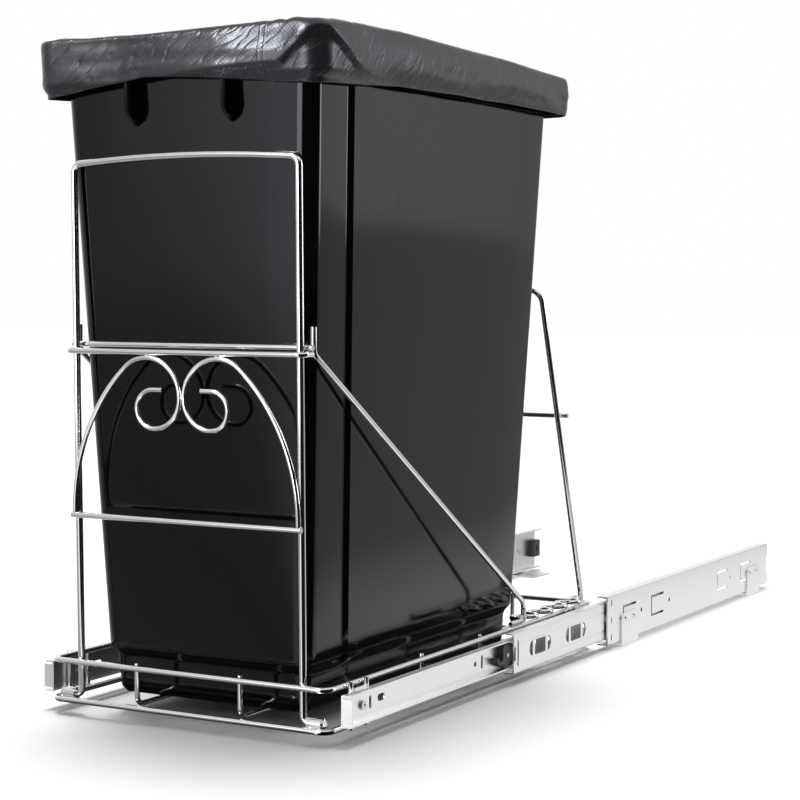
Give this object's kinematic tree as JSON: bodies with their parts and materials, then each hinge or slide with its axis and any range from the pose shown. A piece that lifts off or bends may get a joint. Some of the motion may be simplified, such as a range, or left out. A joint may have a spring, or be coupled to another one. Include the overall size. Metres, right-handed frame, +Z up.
{
  "type": "pull out bin frame",
  "caption": "Chrome wire basket on ball-bearing slides with a scrolled front hoop, a lift-off brace and rear hoop, carrying a lined rectangular waste bin out of a cabinet.",
  "frame": {"origin": "on the cabinet floor, at the centre of the screw holes of the feet, midway along the fixed rails", "axes": "+X to the right seen from the front, +Y to the back of the cabinet along the travel, +Z up"},
  "size_m": [0.294, 0.9259, 0.5161],
  "materials": {
    "chrome_wire": "polished",
    "zinc_rail": "satin",
    "zinc_foot": "satin",
    "cage_steel": "satin",
    "ball_steel": "polished",
    "fixing_steel": "satin",
    "bumper_rubber": "matte",
    "lever_plastic": "matte",
    "bin_plastic": "gloss",
    "liner_film": "gloss"
  },
  "bodies": {
    "cabinet_rails": {"outer_rail_left": "zinc_rail", "outer_rail_right": "zinc_rail", "front_foot_left": "zinc_foot", "front_foot_right": "zinc_foot", "rear_foot_left": "zinc_foot", "rear_foot_right": "zinc_foot", "foot_rivets": "fixing_steel", "rear_bumper_left": "bumper_rubber", "rear_bumper_right": "bumper_rubber"},
    "middle_rail_left": {"middle_rail_left": "zinc_rail"},
    "outer_cage_left": {"outer_cage_left": "cage_steel", "outer_balls_left": "ball_steel"},
    "inner_cage_left": {"inner_cage_left": "cage_steel", "inner_balls_left": "ball_steel"},
    "release_lever_left": {"release_lever_left": "lever_plastic"},
    "middle_rail_right": {"middle_rail_right": "zinc_rail"},
    "outer_cage_right": {"outer_cage_right": "cage_steel", "outer_balls_right": "ball_steel"},
    "inner_cage_right": {"inner_cage_right": "cage_steel", "inner_balls_right": "ball_steel"},
    "release_lever_right": {"release_lever_right": "lever_plastic"},
    "basket": {"inner_rail_left": "zinc_rail", "inner_rail_right": "zinc_rail", "lever_pins": "fixing_steel", "top_rim": "chrome_wire", "bottom_rim": "chrome_wire", "floor_wire_left": "chrome_wire", "floor_wire_right": "chrome_wire", "cross_wires": "chrome_wire", "slide_posts_left": "chrome_wire", "slide_posts_right": "chrome_wire", "pocket_rack_left": "chrome_wire", "pocket_rack_right": "chrome_wire", "hinge_sleeve_left": "chrome_wire", "hinge_sleeve_right": "chrome_wire", "slide_tabs": "zinc_foot", "slide_screws": "fixing_steel", "front_hoop": "chrome_wire", "peg_bar": "chrome_wire", "lower_bar": "chrome_wire", "scroll_left": "chrome_wire", "scroll_right": "chrome_wire"},
    "brace": {"brace_left": "chrome_wire", "brace_right": "chrome_wire", "brace_bar": "chrome_wire"},
    "rear_hoop": {"rear_hoop": "chrome_wire", "rear_bar": "chrome_wire"},
    "bin": {"bin": "bin_plastic", "liner": "liner_film"}
  },
  "joints": [
    {"name": "basket_slide", "type": "slide", "parent": "cabinet_rails", "child": "basket", "axis": [0, 1, 0], "range_m": [0, 0.45]},
    {"name": "middle_rail_left_slide", "type": "slide", "parent": "cabinet_rails", "child": "middle_rail_left", "axis": [0, 1, 0], "range_m": [0, 0.225]},
    {"name": "outer_cage_left_slide", "type": "slide", "parent": "cabinet_rails", "child": "outer_cage_left", "axis": [0, 1, 0], "range_m": [0, 0.1125]},
    {"name": "inner_cage_left_slide", "type": "slide", "parent": "cabinet_rails", "child": "inner_cage_left", "axis": [0, 1, 0], "range_m": [0, 0.3375]},
    {"name": "middle_rail_right_slide", "type": "slide", "parent": "cabinet_rails", "child": "middle_rail_right", "axis": [0, 1, 0], "range_m": [0, 0.225]},
    {"name": "outer_cage_right_slide", "type": "slide", "parent": "cabinet_rails", "child": "outer_cage_right", "axis": [0, 1, 0], "range_m": [0, 0.1125]},
    {"name": "inner_cage_right_slide", "type": "slide", "parent": "cabinet_rails", "child": "inner_cage_right", "axis": [0, 1, 0], "range_m": [0, 0.3375]},
    {"name": "release_lever_left_hinge", "type": "hinge", "parent": "basket", "child": "release_lever_left", "pos_m": [-0.1355, -0.4205, 0.0265], "axis": [-1, 0, 0], "range_deg": [0, 5], "stiffness_Nm_per_rad": 0.1},
    {"name": "release_lever_right_hinge", "type": "hinge", "parent": "basket", "child": "release_lever_right", "pos_m": [0.1355, -0.4205, 0.0265], "axis": [1, 0, 0], "range_deg": [0, 5], "stiffness_Nm_per_rad": 0.1},
    {"name": "brace_lift", "type": "slide", "parent": "basket", "child": "brace", "axis": [0, 0, 1], "range_m": [0, 0.02]},
    {"name": "rear_hoop_lift", "type": "slide", "parent": "basket", "child": "rear_hoop", "axis": [0, 0, 1], "range_m": [0, 0.025]},
    {"name": "bin_lift", "type": "slide", "parent": "basket", "child": "bin", "axis": [0, 0, 1], "range_m": [0, 0.47]}
  ],
  "couplings": [
    {"joint": "middle_rail_left_slide", "follows": "basket_slide", "ratio": 0.5},
    {"joint": "outer_cage_left_slide", "follows": "basket_slide", "ratio": 0.25},
    {"joint": "inner_cage_left_slide", "follows": "basket_slide", "ratio": 0.75},
    {"joint": "middle_rail_right_slide", "follows": "basket_slide", "ratio": 0.5},
    {"joint": "outer_cage_right_slide", "follows": "basket_slide", "ratio": 0.25},
    {"joint": "inner_cage_right_slide", "follows": "basket_slide", "ratio": 0.75}
  ]
}
